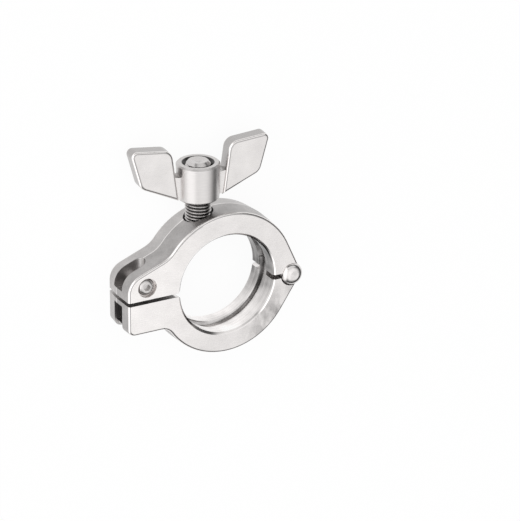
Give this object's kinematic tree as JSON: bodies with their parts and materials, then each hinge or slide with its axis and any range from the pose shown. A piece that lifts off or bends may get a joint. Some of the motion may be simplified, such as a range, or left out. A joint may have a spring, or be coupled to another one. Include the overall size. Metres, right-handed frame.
{
  "type": "kf flange clamp",
  "caption": "Hinged ring clamp for small-flange vacuum joints: two cast jaws with a shallow groove on a riveted hinge, slotted ears, a threaded stud and a wing nut.",
  "frame": {"origin": "centre of the bore, halfway between the flat faces", "axes": "+Z along the flange axis, out of the front face; +Y up the wing nut's stud; +X towards the hinge"},
  "size_m": [0.059, 0.0679, 0.0157],
  "materials": {
    "cast_steel": "ground and polished stainless casting",
    "turned_steel": "turned stainless steel"
  },
  "bodies": {
    "upper_clamp": {"upper_jaw": "cast_steel", "hinge_pin": "turned_steel", "ear_screw": "turned_steel", "stud": "turned_steel"},
    "lower_clamp": {"lower_jaw": "cast_steel"},
    "wing_nut": {"wing_nut": "cast_steel"}
  },
  "joints": [
    {"name": "jaw_hinge", "type": "hinge", "parent": "upper_clamp", "child": "lower_clamp", "pos_m": [0.0222, -0.0012, 0], "axis": [0, 0, 1], "range_deg": [-0.7, 95]},
    {"name": "wing_nut_spin", "type": "hinge", "parent": "upper_clamp", "child": "wing_nut", "pos_m": [-0.0064, 0.027, 0], "axis": [0, 1, 0], "continuous": true}
  ]
}
